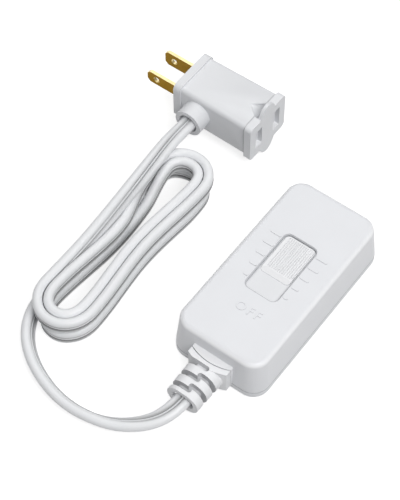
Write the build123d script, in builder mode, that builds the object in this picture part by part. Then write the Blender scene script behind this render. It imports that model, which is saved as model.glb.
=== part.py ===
from build123d import *
import os
from math import acos, cos, pi, radians, sin, sqrt, tan

# Plug-in lamp dimmer: a table-top slider box on a flat cord, with a plug that
# also carries the outlet for the lamp. Millimetres. The origin is the middle of
# the box's underside, Y runs along the box, Z is up.

os.makedirs("parts", exist_ok=True)

# Box
box_width = 43.5
box_length = 87.8
box_height = 22.0
base_height = 4.0
side_draft = 1.55
corner_radius = 7.5
top_corner_radius = 7.0
top_edge_round = 2.3
base_edge_round = 1.5
parting_depth = 0.35
parting_gap = 0.3
wall = 2.0
floor_wall = 2.0
top_wall = 2.0

# Fits
fit_gap = 0.1
slide_gap = 0.3
cut_over = 1.0

# Screws that hold the two halves of the box together
cover_screw_side = 6.75
cover_screw_end = 7.4
cover_screw_x = box_width / 2 - cover_screw_side
cover_screw_y = box_length / 2 - cover_screw_end
screw_boss_radius = 3.25
screw_radius = 1.45
screw_length = 10.0
screw_head_radius = 2.8
screw_head_height = 1.8
screw_head_recess = 2.2
screw_hole_radius = 1.65

# Circuit board and its posts
board_z = 5.4
board_thickness = 1.6
board_side_room = 3.75
board_end_room = 12.9
board_width = box_width - 2 * board_side_room
board_length = box_length - 2 * board_end_room
board_corner = 1.0
board_screw_side = 2.5
board_screw_end = 4.0
board_screw_x = board_width / 2 - board_screw_side
board_screw_y = board_length / 2 - board_screw_end
board_post_radius = 2.4
board_screw_radius = 0.95
board_screw_length = 4.6
board_screw_head_radius = 2.0
board_screw_head_height = 1.3
board_top = board_z + board_thickness

# Slider: the window in the cover, the knob, the shutter under it and its travel
window_width = 15.1
window_length = 30.2
window_y = 1.7
window_corner = 2.5
window_bevel = 0.45
window_plate = 1.2
knob_width = 13.7
knob_length = 19.8
knob_corner = 1.8
knob_end_gap = 0.4
knob_height = 0.6
shutter_width = 19.4
shutter_length = 43.0
shutter_thickness = 1.1
shutter_top_gap = 0.2
shutter_run_gap = 1.0
carrier_thickness = 2.2
knob_travel = window_length - knob_length - knob_end_gap - slide_gap
knob_y = window_y + window_length / 2 - knob_end_gap - knob_length / 2
track_y = knob_y - knob_travel / 2
shutter_top = box_height - window_plate - shutter_top_gap
shutter_bottom = shutter_top - shutter_thickness
carrier_bottom = shutter_bottom - carrier_thickness

# Flat twin cord: two round lobes and the web between them
lobe_radius = 1.85
lobe_offset = 1.8
web_half = 0.95
web_half_width = 0.5
cord_width = 2 * (lobe_offset + lobe_radius)
cord_thickness = 2 * lobe_radius
lobe_corner_angles = (25, 75)
cord_z = 9.0

# Strain relief where the cord enters the box
neck_width = 11.0
neck_height = 9.2
plate_width = 18.4
plate_height = 12.0
plate_thickness = 0.5
plate_bulge = 2.0
plate_slit = 0.4
block_thickness = 2.5
boot_width = 15.6
boot_height = 11.8
boot_end_width = 14.6
boot_end_height = 11.2
boot_length = 14.1
boot_share = 0.49
boot_slots = 3
boot_slot_width = 2.2
boot_slot_pitch = 5.6
left_slot_reach = 9.0
right_slot_reach = 6.8
left_slot_start = 2.1
right_slot_start = 5.8
boot_core = 1.0
mouth_depth = 3.0
mouth_rim = 2.2
neck_flange_width = 15.0
neck_flange_height = 9.6
neck_flange_thickness = 1.4
cord_inside = 3.4
core_sides = 8

# Plug and outlet
plug_x = -47.4
plug_y = 59.6
plug_z = 15.2
blade_spacing = 12.7
blade_thickness = 1.5
hot_width = 6.35
neutral_width = 7.94
blade_reach = 17.8
blade_seat = 3.0
tip_chamfer = 1.5
hole_radius = 1.6
hole_reach = 12.9
plug_front_width = 23.4
plug_back_width = 22.4
plug_height = 18.8
plug_round = 2.0
flange_start = 37.5
flange_width = 24.0
flange_height = 20.4
flange_thickness = 3.6
flange_round = 3.0
collar_x = -76.0
collar_z = 15.5
collar_radius = 6.475
collar_reach = 18.4
collar_rim = 2.0
collar_depth = 3.0
cavity_width = 18.8
cavity_height = 9.6
ear_width = 25.3
ear_height = 20.4
ear_thickness = 3.5
ear_round = 2.0
fin_half_width = 7.0
fin_half_height = plug_z
fin_thickness = 1.5
scoop_half_width = 4.7
scoop_depth = 3.2
scoop_length = 9.3
scoop_point_share = 0.05
scoop_ear_half_width = 5.0
scoop_ear_depth = 3.6
spigot_length = 15.0
pocket_width = 4.4
pocket_depth = 2.2
hot_pocket_height = 10.4
neutral_pocket_height = 11.6
slot_width = 2.0
slot_gap = 0.4
channel_start = 4.2
channel_wall = 0.9
contact_width = 3.1
contact_height = 6.4
contact_leaf = 0.5

# Hank, on edge beside the box
hank_x = -63.0
hank_top_y = 19.5
hank_low_y = -54.5
top_half_width = 7.2
low_half_width = 7.75
top_bend_depth = 6.9
low_bend_depth = 8.8
waist_draw = 2.75
winding_pitch = 4.4
layer_pitch = 7.75
hank_step = 3.0
straight_share = 1e-6
straight_radius = 2000.0
run_share = 0.45
lead_end_run = 9.0
plug_lead_steps = 26
box_lead_steps = 32


def corner_points():
    """Corners of the cord's section, x along its width, in order round it."""
    quarter = [(lobe_offset + lobe_radius * cos(radians(a)), lobe_radius * sin(radians(a)))
               for a in lobe_corner_angles] + [(web_half_width, web_half)]
    upper = quarter + [(-x, y) for x, y in reversed(quarter)]
    return upper + [(-x, -y) for x, y in upper]


# Helper: the outside of the closed box, which the strain relief is seated against
with BuildPart() as box_outside:
    with BuildSketch():
        RectangleRounded(box_width, box_length, corner_radius)
    extrude(amount=base_height)
    with BuildSketch(Plane.XY.offset(base_height)):
        RectangleRounded(box_width, box_length, corner_radius)
    with BuildSketch(Plane.XY.offset(box_height)):
        RectangleRounded(box_width - 2 * side_draft, box_length - 2 * side_draft, top_corner_radius)
    loft(ruled=True)

# Top cover: a drafted shell with the slider's window, its guide rails, the screw
# bosses and the raised marks beside the window.
lip_thickness = 0.9
lip_height = 1.8
rail_thickness = 1.2
rail_height = 1.2
boss_bore_depth = 12.0
mark_pitch = 5.7
mark_middle_y = 2.5
mark_lengths = (5.4, 4.9, 4.4, 3.4, 2.2)
mark_width = 1.4
mark_height = 0.2
mark_gap = 0.8
mark_rows = (2, 1, 0, -1, -2)
mark_round_share = 0.49
run_length = shutter_length + knob_travel + 2 * shutter_run_gap
inner_ceiling = box_height - top_wall

with BuildPart() as top_cover:
    with BuildSketch(Plane.XY.offset(base_height)):
        RectangleRounded(box_width, box_length, corner_radius)
    with BuildSketch(Plane.XY.offset(box_height)):
        RectangleRounded(box_width - 2 * side_draft, box_length - 2 * side_draft, top_corner_radius)
    loft(ruled=True)
    fillet(top_cover.faces().sort_by(Axis.Z)[-1].edges(), top_edge_round)
    # shadow groove above the parting line
    with BuildSketch(Plane.XY.offset(base_height)):
        RectangleRounded(box_width + 2 * cut_over, box_length + 2 * cut_over, corner_radius + cut_over)
        RectangleRounded(box_width - 2 * parting_depth, box_length - 2 * parting_depth,
                         corner_radius - parting_depth, mode=Mode.SUBTRACT)
    extrude(amount=parting_gap, mode=Mode.SUBTRACT)
    with BuildSketch(Plane.XY.offset(base_height)):
        RectangleRounded(box_width - 2 * wall, box_length - 2 * wall, corner_radius - wall)
    with BuildSketch(Plane.XY.offset(inner_ceiling)):
        RectangleRounded(box_width - 2 * (side_draft + wall), box_length - 2 * (side_draft + wall),
                         top_corner_radius - wall)
    loft(ruled=True, mode=Mode.SUBTRACT)
    # rebate for the base's lip
    lip_reach = wall - lip_thickness - fit_gap
    with BuildSketch(Plane.XY.offset(base_height)):
        RectangleRounded(box_width - 2 * lip_reach, box_length - 2 * lip_reach, corner_radius - lip_reach)
    extrude(amount=lip_height + fit_gap, mode=Mode.SUBTRACT)
    # bosses, down to the base's posts
    with BuildSketch(Plane.XY.offset(base_height)):
        with GridLocations(2 * cover_screw_x, 2 * cover_screw_y, 2, 2):
            Circle(screw_boss_radius)
    extrude(amount=inner_ceiling - base_height)
    with BuildSketch(Plane.XY.offset(base_height)):
        with GridLocations(2 * cover_screw_x, 2 * cover_screw_y, 2, 2):
            Circle(screw_radius + fit_gap / 2)
    extrude(amount=boss_bore_depth, mode=Mode.SUBTRACT)
    # guide rails for the shutter
    with BuildSketch(Plane.XY.offset(inner_ceiling - rail_height)):
        with Locations((0, track_y)):
            with GridLocations(shutter_width + 2 * slide_gap + rail_thickness, 0, 2, 1):
                Rectangle(rail_thickness, run_length)
    extrude(amount=rail_height)
    with BuildSketch(Plane.XY.offset(inner_ceiling - cut_over)):
        with Locations((0, track_y)):
            Rectangle(shutter_width + 2 * slide_gap, run_length)
    extrude(amount=top_wall - window_plate + cut_over, mode=Mode.SUBTRACT)
    # window
    with BuildSketch(Plane.XY.offset(inner_ceiling)):
        with Locations((0, window_y)):
            RectangleRounded(window_width, window_length, window_corner)
    extrude(amount=top_wall + cut_over, mode=Mode.SUBTRACT)
    chamfer(top_cover.faces().sort_by(Axis.Z)[-1].inner_wires()[0].edges(), window_bevel)
    # raised marks, longer towards bright
    with BuildSketch(Plane.XY.offset(box_height)):
        for row, length in zip(mark_rows, mark_lengths):
            with Locations((window_width / 2 + mark_gap + length / 2, mark_middle_y + row * mark_pitch),
                           (-window_width / 2 - mark_gap - length / 2, mark_middle_y + row * mark_pitch)):
                RectangleRounded(length, mark_width, mark_round_share * mark_width)
    extrude(amount=mark_height)
    # opening for the neck of the strain relief, open towards the base
    neck_top = cord_z + neck_height / 2
    with BuildSketch(Plane.XZ.offset(box_length / 2 + cut_over)):
        with Locations((0, (neck_top + base_height - cut_over) / 2)):
            Rectangle(neck_width + 2 * fit_gap, neck_top + fit_gap - base_height + cut_over)
    extrude(amount=-(wall + side_draft + 2 * cut_over), mode=Mode.SUBTRACT)
top_cover.part.label = "top_cover"
export_step(top_cover.part, "parts/top_cover.step")

# Base: a shallow tray with the lip, the counterbored screw posts and the board posts.
with BuildPart() as bottom_cover:
    with BuildSketch():
        RectangleRounded(box_width, box_length, corner_radius)
    extrude(amount=base_height)
    fillet(bottom_cover.faces().sort_by(Axis.Z)[0].edges(), base_edge_round)
    with BuildSketch(Plane.XY.offset(floor_wall)):
        RectangleRounded(box_width - 2 * wall, box_length - 2 * wall, corner_radius - wall)
    extrude(amount=base_height, mode=Mode.SUBTRACT)
    lip_offset = wall - lip_thickness
    with BuildSketch(Plane.XY.offset(floor_wall)):
        RectangleRounded(box_width - 2 * lip_offset, box_length - 2 * lip_offset, corner_radius - lip_offset)
        RectangleRounded(box_width - 2 * wall, box_length - 2 * wall, corner_radius - wall,
                         mode=Mode.SUBTRACT)
    extrude(amount=base_height - floor_wall + lip_height)
    with BuildSketch(Plane.XY.offset(floor_wall)):
        with GridLocations(2 * cover_screw_x, 2 * cover_screw_y, 2, 2):
            Circle(screw_boss_radius)
    extrude(amount=base_height - floor_wall)
    with BuildSketch(Plane.XY.offset(floor_wall)):
        with GridLocations(2 * board_screw_x, 2 * board_screw_y, 2, 2):
            Circle(board_post_radius)
    extrude(amount=board_z - floor_wall)
    with BuildSketch():
        with GridLocations(2 * cover_screw_x, 2 * cover_screw_y, 2, 2):
            Circle(screw_head_radius + 2 * fit_gap)
    extrude(amount=screw_head_recess, mode=Mode.SUBTRACT)
    with BuildSketch():
        with GridLocations(2 * cover_screw_x, 2 * cover_screw_y, 2, 2):
            Circle(screw_hole_radius)
    extrude(amount=base_height + cut_over, mode=Mode.SUBTRACT)
    with BuildSketch(Plane.XY.offset(board_z)):
        with GridLocations(2 * board_screw_x, 2 * board_screw_y, 2, 2):
            Circle(board_screw_radius + fit_gap / 2)
    extrude(amount=-(board_z - floor_wall), mode=Mode.SUBTRACT)
    # the lip stops at the neck of the strain relief
    with BuildSketch(Plane.XZ.offset(box_length / 2 + cut_over)):
        with Locations((0, base_height + lip_height)):
            Rectangle(neck_width + 2 * fit_gap, 2 * lip_height)
    extrude(amount=-(wall + 2 * cut_over), mode=Mode.SUBTRACT)
bottom_cover.part.label = "bottom_cover"
export_step(bottom_cover.part, "parts/bottom_cover.step")

# Cover screws: pan heads sunk in the base, cross recess.
cross_length = 3.2
cross_width = 0.8
cross_depth = 1.1

with BuildPart() as cover_screws:
    with BuildSketch(Plane.XY.offset(screw_head_recess - screw_head_height)):
        with GridLocations(2 * cover_screw_x, 2 * cover_screw_y, 2, 2):
            Circle(screw_head_radius)
    extrude(amount=screw_head_height)
    with BuildSketch(Plane.XY.offset(screw_head_recess)):
        with GridLocations(2 * cover_screw_x, 2 * cover_screw_y, 2, 2):
            Circle(screw_radius)
    extrude(amount=screw_length)
    with BuildSketch(Plane.XY.offset(screw_head_recess - screw_head_height)):
        with GridLocations(2 * cover_screw_x, 2 * cover_screw_y, 2, 2):
            Rectangle(cross_length, cross_width)
            Rectangle(cross_width, cross_length)
    extrude(amount=cross_depth, mode=Mode.SUBTRACT)
cover_screws.part.label = "cover_screws"
export_step(cover_screws.part, "parts/cover_screws.step")

# Board screws, one in each post.
board_slot_width = 0.6
board_slot_depth = 0.6

with BuildPart() as board_screws:
    with BuildSketch(Plane.XY.offset(board_top)):
        with GridLocations(2 * board_screw_x, 2 * board_screw_y, 2, 2):
            Circle(board_screw_head_radius)
    extrude(amount=board_screw_head_height)
    with BuildSketch(Plane.XY.offset(board_top)):
        with GridLocations(2 * board_screw_x, 2 * board_screw_y, 2, 2):
            Circle(board_screw_radius)
    extrude(amount=-board_screw_length)
    with BuildSketch(Plane.XY.offset(board_top + board_screw_head_height)):
        with GridLocations(2 * board_screw_x, 2 * board_screw_y, 2, 2):
            Rectangle(2 * board_screw_head_radius, board_slot_width)
    extrude(amount=-board_slot_depth, mode=Mode.SUBTRACT)
board_screws.part.label = "board_screws"
export_step(board_screws.part, "parts/board_screws.step")

# Slide potentiometer: a channel on the board with the resistive strip in it.
pot_width = 9.6
pot_top_gap = 3.3
pot_height = carrier_bottom - board_top - pot_top_gap
pot_end_wall = 1.6
channel_width = 6.0
channel_floor = 1.4
track_thickness = 0.5
stem_width = 4.4
stem_length = 5.0
stem_end_gap = 2.0
channel_length = knob_travel + stem_length + 2 * stem_end_gap

with BuildPart() as potentiometer_body:
    with BuildSketch(Plane.XY.offset(board_top)):
        with Locations((0, track_y)):
            Rectangle(pot_width, channel_length + 2 * pot_end_wall)
    extrude(amount=pot_height)
    with BuildSketch(Plane.XY.offset(board_top + channel_floor)):
        with Locations((0, track_y)):
            Rectangle(channel_width, channel_length)
    extrude(amount=pot_height, mode=Mode.SUBTRACT)
potentiometer_body.part.label = "potentiometer_body"
export_step(potentiometer_body.part, "parts/potentiometer_body.step")

track_top = board_top + channel_floor + track_thickness

with BuildPart() as potentiometer_track:
    with BuildSketch(Plane.XY.offset(board_top + channel_floor)):
        with Locations((0, track_y)):
            Rectangle(channel_width - 2 * fit_gap, channel_length - 2 * fit_gap)
    extrude(amount=track_thickness)
potentiometer_track.part.label = "potentiometer_track"
export_step(potentiometer_track.part, "parts/potentiometer_track.step")

# Knob: a low ribbed pad on the shutter, with a ramp at its dim end and two pegs
# that go down through the shutter into the carrier.
rib_count = 13
rib_width = 0.5
rib_depth = 0.25
knob_margin = 1.2
ramp_length = 2.4
peg_width = 6.0
peg_length = 1.6
peg_spacing = 10.0
peg_depth = 1.0
knob_top = shutter_top + knob_height
rib_pitch = (knob_width - knob_margin) / rib_count

with BuildPart() as slider_knob:
    with BuildSketch(Plane.YZ.offset(-knob_width / 2)):
        with BuildLine():
            Polyline((knob_y - knob_length / 2, shutter_top),
                     (knob_y - knob_length / 2, shutter_top + rib_depth),
                     (knob_y - knob_length / 2 + ramp_length, knob_top),
                     (knob_y + knob_length / 2, knob_top),
                     (knob_y + knob_length / 2, shutter_top), close=True)
        make_face()
    extrude(amount=knob_width)
    with BuildSketch(Plane.XY.offset(shutter_top)):
        with Locations((0, knob_y)):
            RectangleRounded(knob_width, knob_length, knob_corner)
    extrude(amount=knob_height, mode=Mode.INTERSECT)
    # grooves between the ribs
    with BuildSketch(Plane.XY.offset(knob_top - rib_depth)):
        with Locations((knob_margin / 2, knob_y + ramp_length / 2)):
            with GridLocations(rib_pitch, 0, rib_count, 1):
                Rectangle(rib_pitch - rib_width, knob_length - ramp_length - knob_margin)
    extrude(amount=rib_depth + cut_over, mode=Mode.SUBTRACT)
    with BuildSketch(Plane.XY.offset(shutter_top)):
        with Locations((0, knob_y)):
            with GridLocations(0, peg_spacing, 1, 2):
                Rectangle(peg_width, peg_length)
    extrude(amount=-(shutter_thickness + peg_depth))
slider_knob.part.label = "slider_knob"
export_step(slider_knob.part, "parts/slider_knob.step")

# Shutter: the long plate that keeps the window closed wherever the knob stands.
with BuildPart() as slider_shutter:
    with BuildSketch(Plane.XY.offset(shutter_bottom)):
        with Locations((0, knob_y)):
            RectangleRounded(shutter_width, shutter_length, board_corner)
            with GridLocations(0, peg_spacing, 1, 2):
                Rectangle(peg_width + 2 * fit_gap, peg_length + 2 * fit_gap, mode=Mode.SUBTRACT)
    extrude(amount=shutter_thickness)
slider_shutter.part.label = "slider_shutter"
export_step(slider_shutter.part, "parts/slider_shutter.step")

# Carrier: clips the knob's pegs, drives the wiper and works the switch at the dim end.
carrier_width = 12.0
carrier_length = 15.0
arm_width = 3.0
arm_thickness = 1.2
finger_board_gap = 3.3
finger_depth = carrier_bottom - board_top - finger_board_gap
switch_width = 7.0
switch_side_gap = 2.6
switch_x = -(pot_width / 2 + switch_side_gap + switch_width / 2)
arm_reach = arm_width / 2 - switch_x
wiper_thickness = 0.4
wiper_lift = 0.9
carrier_top = shutter_bottom
stem_bottom = track_top + wiper_lift + wiper_thickness

with BuildPart() as slider_carrier:
    with BuildSketch(Plane.XY.offset(carrier_bottom)):
        with Locations((0, knob_y)):
            Rectangle(carrier_width, carrier_length)
    extrude(amount=carrier_thickness)
    with BuildSketch(Plane.XY.offset(carrier_bottom)):
        with Locations((-arm_reach / 2, knob_y - carrier_length / 2 + arm_width / 2)):
            Rectangle(arm_reach, arm_width)
    extrude(amount=arm_thickness)
    with BuildSketch(Plane.XY.offset(carrier_top - peg_depth - fit_gap)):
        with Locations((0, knob_y)):
            with GridLocations(0, peg_spacing, 1, 2):
                Rectangle(peg_width + 2 * fit_gap, peg_length + 2 * fit_gap)
    extrude(amount=peg_depth + fit_gap, mode=Mode.SUBTRACT)
    with BuildSketch(Plane.XY.offset(stem_bottom)):
        with Locations((0, knob_y)):
            Rectangle(stem_width, stem_length)
    extrude(amount=carrier_bottom - stem_bottom)
    with BuildSketch(Plane.XY.offset(carrier_bottom)):
        with Locations((switch_x, knob_y - carrier_length / 2 + arm_width / 2)):
            Rectangle(arm_width, arm_width)
    extrude(amount=-finger_depth)
slider_carrier.part.label = "slider_carrier"
export_step(slider_carrier.part, "parts/slider_carrier.step")

# Wiper: a spring strip under the stem, with two bowed contacts over the strip.
wiper_dome = 0.7
wiper_width = 3.4
wiper_spread = 3.0

with BuildPart() as wiper:
    with BuildSketch(Plane.XY.offset(stem_bottom - wiper_thickness)):
        with Locations((0, knob_y)):
            Rectangle(stem_width, stem_length)
    extrude(amount=wiper_thickness)
    with BuildSketch(Plane.YZ.offset(-wiper_width / 2)):
        with Locations((knob_y - wiper_spread / 2, stem_bottom - wiper_thickness),
                       (knob_y + wiper_spread / 2, stem_bottom - wiper_thickness)):
            Circle(wiper_dome)
        with Locations((knob_y, stem_bottom - wiper_thickness / 2 + wiper_dome)):
            Rectangle(stem_length, 2 * wiper_dome, mode=Mode.SUBTRACT)
    extrude(amount=wiper_width)
wiper.part.label = "wiper"
export_step(wiper.part, "parts/wiper.step")

# Off switch beside the potentiometer, pressed by the carrier's finger.
switch_length = 11.0
switch_top_gap = 2.3
switch_height = carrier_bottom - board_top - switch_top_gap
button_height_share = 0.625
button_width = 2.4
button_height = 3.0
button_reach = 0.8
button_gap = 0.5
button_root = 1.4
button_press = 0.6
button_z = board_top + button_height_share * switch_height
finger_front = knob_y - carrier_length / 2 - knob_travel
switch_back = finger_front - button_gap - button_reach - switch_length / 2

with BuildPart() as off_switch:
    with BuildSketch(Plane.XY.offset(board_top)):
        with Locations((switch_x, switch_back)):
            Rectangle(switch_width, switch_length)
    extrude(amount=switch_height)
    fillet(off_switch.faces().sort_by(Axis.Z)[-1].edges(), 2 * slide_gap)
    with BuildSketch(Plane.XZ.offset(-(switch_back + switch_length / 2))):
        with Locations((switch_x, button_z)):
            Rectangle(button_width + 2 * slide_gap, button_height + 2 * slide_gap)
    extrude(amount=button_root + button_press + slide_gap, mode=Mode.SUBTRACT)
off_switch.part.label = "off_switch"
export_step(off_switch.part, "parts/off_switch.step")

with BuildPart() as switch_button:
    with BuildSketch(Plane.XZ.offset(-(switch_back + switch_length / 2))):
        with Locations((switch_x, button_z)):
            RectangleRounded(button_width, button_height, button_width / 4)
    extrude(amount=-button_reach)
    extrude(switch_button.faces().sort_by(Axis.Y)[0], amount=button_root)
switch_button.part.label = "switch_button"
export_step(switch_button.part, "parts/switch_button.step")

# Triac lying on its long edge against the heat sink, held by a rivet.
sink_side = 1.8
sink_x = board_width / 2 - sink_side
sink_thickness = 1.5
sink_length_share = 0.484
sink_length = sink_length_share * board_length
sink_top_gap = 3.0
sink_height = inner_ceiling - board_top - sink_top_gap
sink_y = 4.0
sink_fold = 4.0
triac_depth = 4.4
triac_length = 9.2
triac_height = sink_height
tab_thickness = 1.3
tab_length = 6.4
triac_y = -1.5
rivet_hole = 1.8
rivet_radius = 1.65
rivet_head_radius = 2.6
rivet_head_height = 0.9
rivet_y = triac_y + triac_length / 2 + tab_length / 2
rivet_z = board_top + triac_height / 2
leg_width = 0.8
leg_thickness = 0.5
leg_length = 3.0
leg_pitch_share = 0.254
leg_pitch = leg_pitch_share * triac_height

with BuildPart() as heat_sink:
    with BuildSketch(Plane.YZ.offset(sink_x)):
        with Locations((sink_y, board_top + sink_height / 2)):
            Rectangle(sink_length, sink_height)
        with Locations((rivet_y, rivet_z)):
            Circle(rivet_hole, mode=Mode.SUBTRACT)
    extrude(amount=sink_thickness)
    with BuildSketch(Plane.XY.offset(board_top)):
        with Locations((sink_x - sink_fold / 2, sink_y + sink_length / 2 - sink_thickness / 2)):
            Rectangle(sink_fold, sink_thickness)
    extrude(amount=sink_height)
heat_sink.part.label = "heat_sink"
export_step(heat_sink.part, "parts/heat_sink.step")

with BuildPart() as triac_case:
    with BuildSketch(Plane.YZ.offset(sink_x - triac_depth)):
        with Locations((triac_y, rivet_z)):
            Rectangle(triac_length, triac_height)
    extrude(amount=triac_depth - tab_thickness)
    chamfer(triac_case.faces().sort_by(Axis.X)[0].edges(), tab_thickness / 3)
triac_case.part.label = "triac_case"
export_step(triac_case.part, "parts/triac_case.step")

with BuildPart() as triac_tab:
    with BuildSketch(Plane.YZ.offset(sink_x - tab_thickness)):
        with Locations((triac_y + tab_length / 2, rivet_z)):
            Rectangle(triac_length + tab_length, triac_height)
        with Locations((rivet_y, rivet_z)):
            Circle(rivet_hole, mode=Mode.SUBTRACT)
    extrude(amount=tab_thickness)
triac_tab.part.label = "triac_tab"
export_step(triac_tab.part, "parts/triac_tab.step")

leg_x = sink_x - triac_depth + tab_thickness

with BuildPart() as triac_legs:
    for row in (-1, 0, 1):
        with BuildSketch(Plane.YZ.offset(leg_x)):
            leg_z = rivet_z + row * leg_pitch
            leg_end_y = triac_y - triac_length / 2 - leg_length - (row + 1) * leg_pitch / 2
            with BuildLine():
                Polyline((triac_y - triac_length / 2, leg_z), (leg_end_y, leg_z), (leg_end_y, board_z),
                         (leg_end_y + leg_width, board_z), (leg_end_y + leg_width, leg_z - leg_width),
                         (triac_y - triac_length / 2, leg_z - leg_width), close=True)
            make_face()
        extrude(amount=leg_thickness)
triac_legs.part.label = "triac_legs"
export_step(triac_legs.part, "parts/triac_legs.step")

with BuildPart() as heat_sink_rivet:
    with BuildSketch(Plane.YZ.offset(sink_x - tab_thickness)):
        with Locations((rivet_y, rivet_z)):
            Circle(rivet_radius)
    extrude(amount=tab_thickness + sink_thickness)
    with BuildSketch(Plane.YZ.offset(sink_x - tab_thickness)):
        with Locations((rivet_y, rivet_z)):
            Circle(rivet_head_radius)
    extrude(amount=-rivet_head_height)
heat_sink_rivet.part.label = "heat_sink_rivet"
export_step(heat_sink_rivet.part, "parts/heat_sink_rivet.step")

# Choke: a powder ring with its winding in two banks, grooved turn by turn.
choke_side_share = 0.46
choke_inner_share = 0.55
choke_arm_gap = 0.5
ring_thickness = 4.6
coil_thickness = 0.8
side_room = (board_width - pot_width) / 2
choke_radius = choke_side_share * side_room
ring_outer = choke_radius - coil_thickness
ring_inner = choke_inner_share * ring_outer
choke_x = -(pot_width + side_room) / 2
choke_y = knob_y - carrier_length / 2 + arm_width + choke_arm_gap + choke_radius
coil_groove = 0.35
coil_turns = 22
choke_z = board_top + coil_thickness

with BuildPart() as choke_core:
    with BuildSketch(Plane.XY.offset(choke_z)):
        with Locations((choke_x, choke_y)):
            Circle(ring_outer)
            Circle(ring_inner, mode=Mode.SUBTRACT)
    extrude(amount=ring_thickness)
choke_core.part.label = "choke_core"
export_step(choke_core.part, "parts/choke_core.step")

with BuildPart() as choke_winding:
    with BuildSketch(Plane.XY.offset(board_top)):
        with Locations((choke_x, choke_y)):
            Circle(ring_outer + coil_thickness)
            Circle(ring_inner - coil_thickness, mode=Mode.SUBTRACT)
    extrude(amount=ring_thickness + 2 * coil_thickness)
    with BuildSketch(Plane.XY.offset(choke_z)):
        with Locations((choke_x, choke_y)):
            Circle(ring_outer)
            Circle(ring_inner, mode=Mode.SUBTRACT)
    extrude(amount=ring_thickness, mode=Mode.SUBTRACT)
    # open sector where the two ends of the wire leave
    with BuildSketch(Plane.XY.offset(board_top)):
        with Locations((choke_x, choke_y)):
            with PolarLocations(ring_inner + ring_outer, 1, start_angle=-90):
                Rectangle(2 * (ring_inner + ring_outer), 2 * ring_inner)
    extrude(amount=ring_thickness + 2 * coil_thickness, mode=Mode.SUBTRACT)
    # a groove between each two turns on the outside and the top
    with BuildSketch(Plane.XY.offset(board_top + ring_thickness + 2 * coil_thickness - coil_groove)):
        with Locations((choke_x, choke_y)):
            with PolarLocations((ring_inner + ring_outer) / 2, coil_turns):
                Rectangle(2 * ring_outer, coil_groove)
    extrude(amount=coil_groove, mode=Mode.SUBTRACT)
choke_winding.part.label = "choke_winding"
export_step(choke_winding.part, "parts/choke_winding.step")

# Capacitors, standing on the board.
terminal_end = 3.0
terminal_y = terminal_end - board_length / 2
cap_end_room = 3.4
cap_side_gap = 0.6
cap_top_gap = 0.9
noise_cap_size = (6.0, 12.4, carrier_bottom - board_top - cap_top_gap)
noise_cap_place = (pot_width / 2 + cap_side_gap + noise_cap_size[0] / 2,
                   terminal_y + cap_end_room + noise_cap_size[1] / 2)
timing_cap_size = (3.2, 7.2, 7.0)
timing_cap_side = 9.0
timing_cap_end = 6.0
timing_cap_place = (board_width / 2 - timing_cap_side, board_length / 2 - timing_cap_end)
cap_round = 0.7

with BuildPart() as noise_capacitor:
    with BuildSketch(Plane.XY.offset(board_top)):
        with Locations(noise_cap_place):
            Rectangle(noise_cap_size[0], noise_cap_size[1])
    extrude(amount=noise_cap_size[2])
    fillet(noise_capacitor.faces().sort_by(Axis.Z)[-1].edges(), cap_round)
noise_capacitor.part.label = "noise_capacitor"
export_step(noise_capacitor.part, "parts/noise_capacitor.step")

with BuildPart() as timing_capacitor:
    with BuildSketch(Plane.XY.offset(board_top)):
        with Locations(timing_cap_place):
            Rectangle(timing_cap_size[0], timing_cap_size[1])
    extrude(amount=timing_cap_size[2])
    fillet(timing_capacitor.faces().sort_by(Axis.Z)[-1].edges(), cap_round)
timing_capacitor.part.label = "timing_capacitor"
export_step(timing_capacitor.part, "parts/timing_capacitor.step")

# Resistor and diac, lying on the board with their wire ends bent down through it.
resistor_length = 6.4
resistor_radius = 1.2
resistor_x = -2.0
resistor_end = 5.3
resistor_place = (resistor_x, board_length / 2 - resistor_end)
diac_length = 4.2
diac_radius = 0.9
diac_side = 6.5
diac_end = 4.6
diac_place = (diac_side - board_width / 2, board_length / 2 - diac_end)
wire_radius = 0.3
wire_reach = 1.3

with BuildPart() as resistor:
    with BuildSketch(Plane.XZ.offset(-(resistor_place[1] - resistor_length / 2))):
        with Locations((resistor_place[0], board_top + resistor_radius)):
            Circle(resistor_radius)
    extrude(amount=-resistor_length)
    fillet(resistor.edges().filter_by(GeomType.CIRCLE), resistor_radius / 4)
    wire_y = resistor_length / 2 + wire_reach
    with BuildSketch(Plane.YZ.offset(resistor_place[0] - wire_radius)):
        with Locations((resistor_place[1], board_top + resistor_radius)):
            Rectangle(2 * wire_y, 2 * wire_radius)
        with Locations((resistor_place[1] - wire_y, (board_z + board_top + resistor_radius) / 2),
                       (resistor_place[1] + wire_y, (board_z + board_top + resistor_radius) / 2)):
            Rectangle(2 * wire_radius, board_top + resistor_radius - board_z)
    extrude(amount=2 * wire_radius)
resistor.part.label = "resistor"
export_step(resistor.part, "parts/resistor.step")

with BuildPart() as diac:
    with BuildSketch(Plane.XZ.offset(-(diac_place[1] - diac_length / 2))):
        with Locations((diac_place[0], board_top + diac_radius)):
            Circle(diac_radius)
    extrude(amount=-diac_length)
    fillet(diac.edges().filter_by(GeomType.CIRCLE), diac_radius / 4)
    wire_y = diac_length / 2 + wire_reach
    with BuildSketch(Plane.YZ.offset(diac_place[0] - wire_radius)):
        with Locations((diac_place[1], board_top + diac_radius)):
            Rectangle(2 * wire_y, 2 * wire_radius)
        with Locations((diac_place[1] - wire_y, (board_z + board_top + diac_radius) / 2),
                       (diac_place[1] + wire_y, (board_z + board_top + diac_radius) / 2)):
            Rectangle(2 * wire_radius, board_top + diac_radius - board_z)
    extrude(amount=2 * wire_radius)
diac.part.label = "diac"
export_step(diac.part, "parts/diac.step")

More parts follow.
